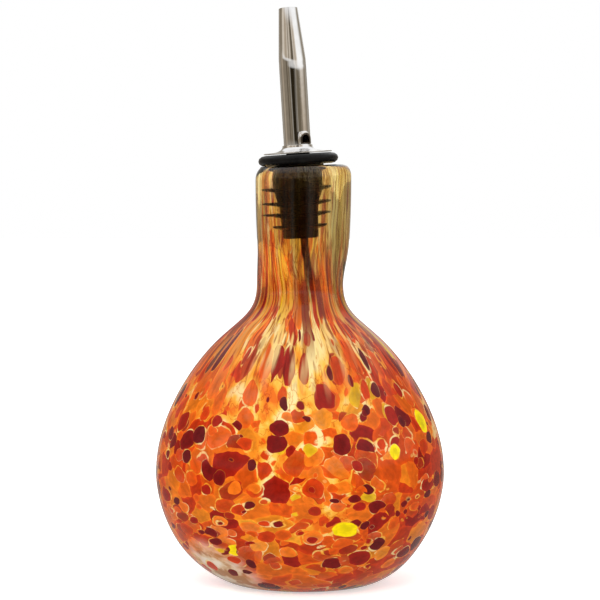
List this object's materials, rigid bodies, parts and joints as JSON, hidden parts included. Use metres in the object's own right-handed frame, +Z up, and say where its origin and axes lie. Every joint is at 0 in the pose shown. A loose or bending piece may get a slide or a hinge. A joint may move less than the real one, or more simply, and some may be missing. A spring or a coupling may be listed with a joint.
{
  "type": "glass cruet",
  "caption": "Round-bodied blown glass oil cruet with a narrow neck, closed by a finned rubber stopper that carries a chromed pouring spout with a vent.",
  "frame": {"origin": "middle of the flat ring under the bottle, on the surface it stands on", "axes": "+Z up along the bottle's axis; the vent of the spout faces -Y turned towards +X, and the spout's tip bends towards +Y"},
  "size_m": [0.1034, 0.1034, 0.2052],
  "materials": {
    "frit_glass": "clear gloss glass cased over orange, red and yellow frit",
    "black_rubber": "moulded satin black",
    "spout_chrome": "bright polished plating",
    "vent_steel": "drawn tube, dull"
  },
  "bodies": {
    "bottle": {"glass_bottle": "frit_glass"},
    "stopper": {"finned_stopper": "black_rubber"},
    "spout": {"pour_spout": "spout_chrome", "spout_collar": "spout_chrome", "vent_tube": "vent_steel"}
  },
  "joints": [
    {"name": "stopper_lift", "type": "slide", "parent": "bottle", "child": "stopper", "axis": [0, 0, 1], "range_m": [0, 0.055]},
    {"name": "spout_turn", "type": "hinge", "parent": "stopper", "child": "spout", "pos_m": [-0.0005, 0, 0.1493], "axis": [-0.061, 0, 0.9981], "continuous": true}
  ]
}
